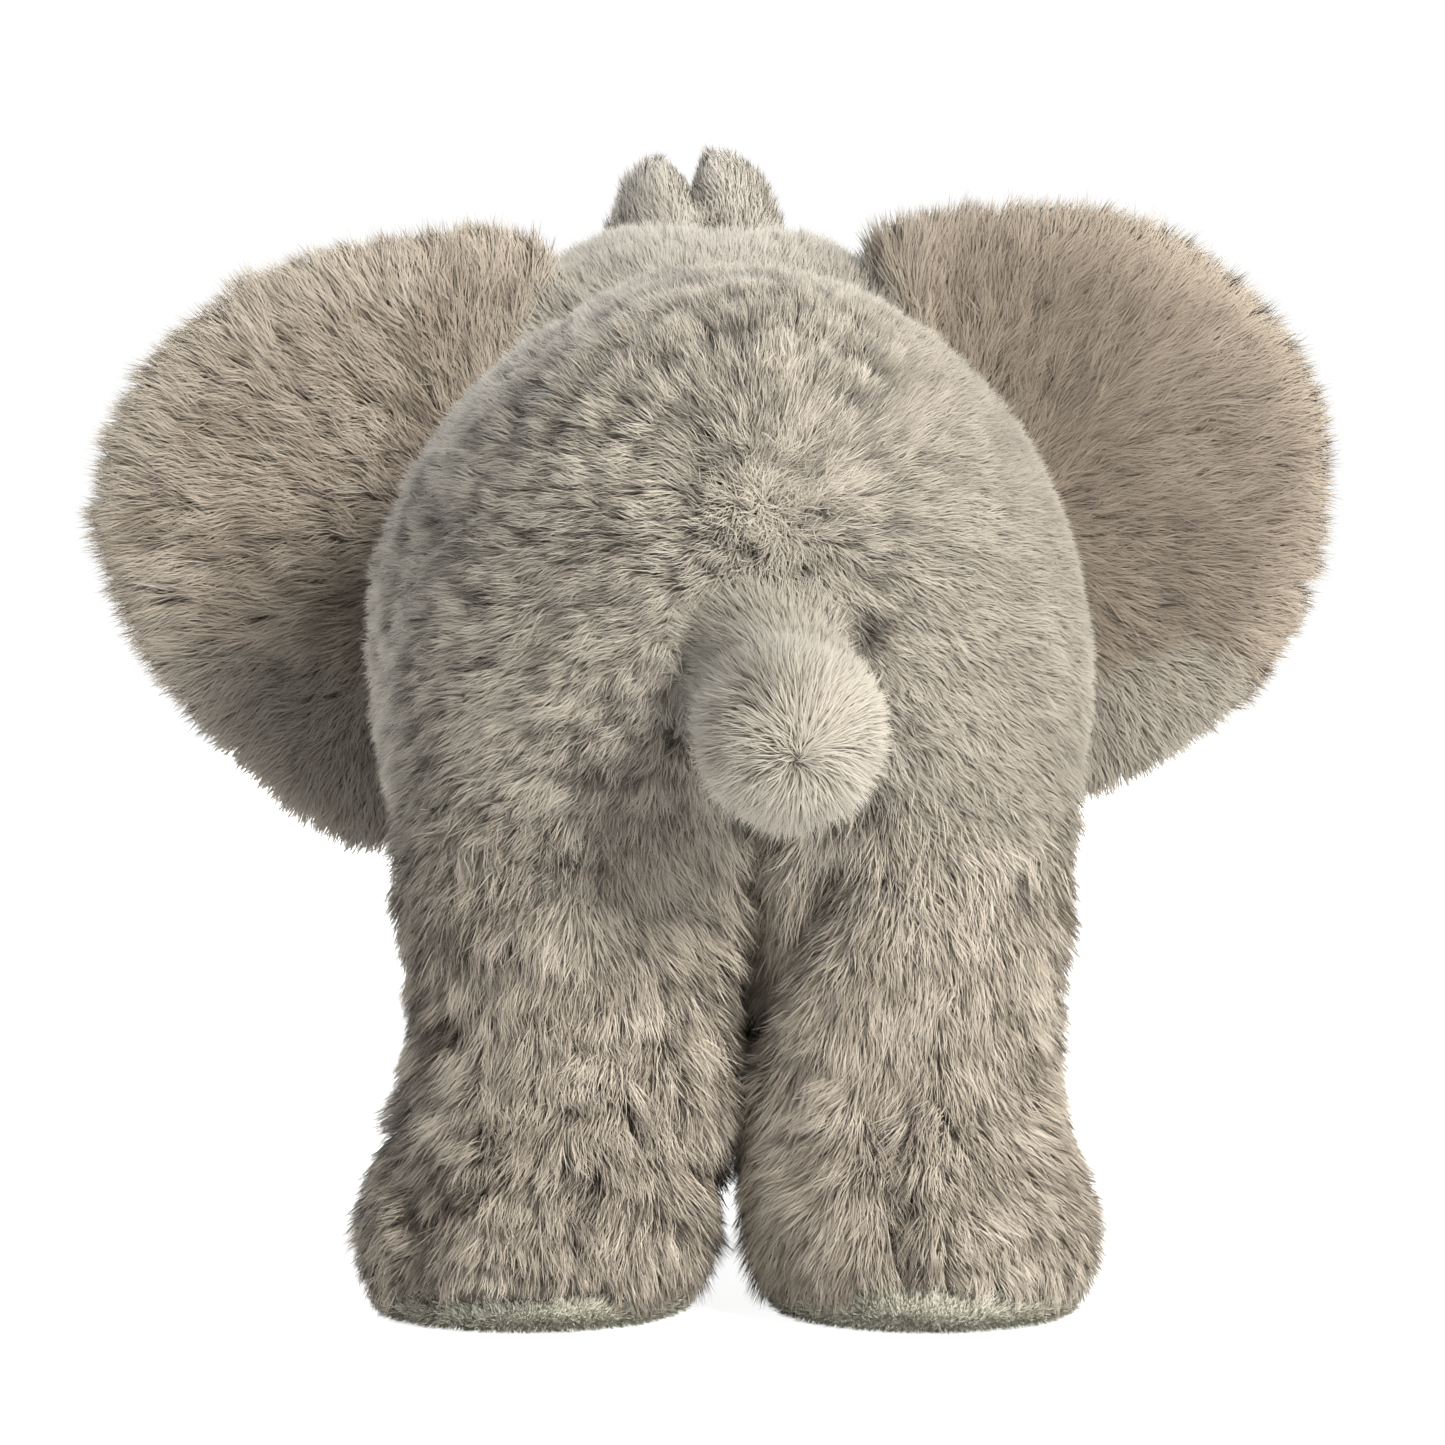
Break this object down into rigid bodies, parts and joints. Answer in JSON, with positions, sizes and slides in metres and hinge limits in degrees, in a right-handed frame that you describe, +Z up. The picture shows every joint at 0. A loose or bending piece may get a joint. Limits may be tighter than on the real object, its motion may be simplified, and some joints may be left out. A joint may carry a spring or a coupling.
{
  "type": "stuffed elephant",
  "caption": "Standing long-pile plush elephant calf with spread ears, a raised trunk and a stub tail, for play and display.",
  "frame": {"origin": "on the surface it stands on, under the middle of its outer box", "axes": "+Z up; the elephant faces -Y, its tail points to +Y, and +X is its left"},
  "size_m": [0.2239, 0.2855, 0.1935],
  "materials": {
    "plush_body": "matte",
    "plush_head": "matte",
    "plush_ear": "matte",
    "plush_tail": "matte",
    "plush_leg": "matte",
    "sole_cloth": "matte",
    "mouth_cloth": "matte",
    "filling": "matte",
    "pellet_cloth": "matte",
    "eye_plastic": "gloss",
    "washer_plastic": "matte"
  },
  "bodies": {
    "torso": {"body_stuffing": "filling", "body_panel_left": "plush_body", "body_panel_right": "plush_body", "belly_panel": "plush_body", "body_pellet_pouch": "pellet_cloth"},
    "head": {"head_stuffing": "filling", "head_panel_left": "plush_head", "head_panel_right": "plush_head", "crown_gusset": "plush_head", "chin_panel": "plush_head", "lower_lip": "plush_head", "mouth_lining": "mouth_cloth", "eye_left": "eye_plastic", "eye_right": "eye_plastic", "eye_washer_left": "washer_plastic", "eye_washer_right": "washer_plastic"},
    "trunk": {"trunk_stuffing": "filling", "trunk_front_panel": "plush_head", "trunk_under_panel": "plush_head", "nostril_patch": "mouth_cloth"},
    "ear_left": {"ear_batting_left": "filling", "ear_back_left": "plush_ear", "ear_front_left": "plush_ear"},
    "ear_right": {"ear_batting_right": "filling", "ear_back_right": "plush_ear", "ear_front_right": "plush_ear"},
    "tail": {"tail_stuffing": "filling", "tail_skin": "plush_tail"},
    "leg_rear_left": {"leg_stuffing_rear_left": "filling", "leg_skin_rear_left": "plush_leg", "sole_rear_left": "sole_cloth", "foot_pellets_rear_left": "pellet_cloth"},
    "leg_rear_right": {"leg_stuffing_rear_right": "filling", "leg_skin_rear_right": "plush_leg", "sole_rear_right": "sole_cloth", "foot_pellets_rear_right": "pellet_cloth"},
    "leg_front_left": {"leg_stuffing_front_left": "filling", "leg_skin_front_left": "plush_leg", "sole_front_left": "sole_cloth", "foot_pellets_front_left": "pellet_cloth"},
    "leg_front_right": {"leg_stuffing_front_right": "filling", "leg_skin_front_right": "plush_leg", "sole_front_right": "sole_cloth", "foot_pellets_front_right": "pellet_cloth"}
  },
  "joints": [
    {"name": "neck_nod", "type": "hinge", "parent": "torso", "child": "head", "pos_m": [0, -0.0342, 0.118], "axis": [1, 0, 0], "range_deg": [-10, 10], "stiffness_Nm_per_rad": 2},
    {"name": "trunk_lift", "type": "hinge", "parent": "head", "child": "trunk", "pos_m": [0, -0.0992, 0.122], "axis": [1, 0, 0], "range_deg": [-5, 12], "stiffness_Nm_per_rad": 0.6},
    {"name": "ear_left_flap", "type": "hinge", "parent": "head", "child": "ear_left", "pos_m": [0.0425, -0.0522, 0.122], "axis": [0, 0, 1], "range_deg": [-20, 20], "stiffness_Nm_per_rad": 0.2},
    {"name": "ear_right_flap", "type": "hinge", "parent": "head", "child": "ear_right", "pos_m": [-0.0425, -0.0522, 0.122], "axis": [0, 0, 1], "range_deg": [-20, 20], "stiffness_Nm_per_rad": 0.2},
    {"name": "tail_wag", "type": "hinge", "parent": "torso", "child": "tail", "pos_m": [0, 0.0998, 0.11], "axis": [0, 0, 1], "range_deg": [-16, 16], "stiffness_Nm_per_rad": 0.1},
    {"name": "hip_rear_left", "type": "hinge", "parent": "torso", "child": "leg_rear_left", "pos_m": [0.028, 0.0768, 0.066], "axis": [1, 0, 0], "range_deg": [-12, 12], "stiffness_Nm_per_rad": 3},
    {"name": "hip_rear_right", "type": "hinge", "parent": "torso", "child": "leg_rear_right", "pos_m": [-0.028, 0.0768, 0.066], "axis": [1, 0, 0], "range_deg": [-12, 12], "stiffness_Nm_per_rad": 3},
    {"name": "shoulder_front_left", "type": "hinge", "parent": "torso", "child": "leg_front_left", "pos_m": [0.025, -0.0082, 0.066], "axis": [1, 0, 0], "range_deg": [-12, 12], "stiffness_Nm_per_rad": 3},
    {"name": "shoulder_front_right", "type": "hinge", "parent": "torso", "child": "leg_front_right", "pos_m": [-0.025, -0.0082, 0.066], "axis": [1, 0, 0], "range_deg": [-12, 12], "stiffness_Nm_per_rad": 3}
  ]
}
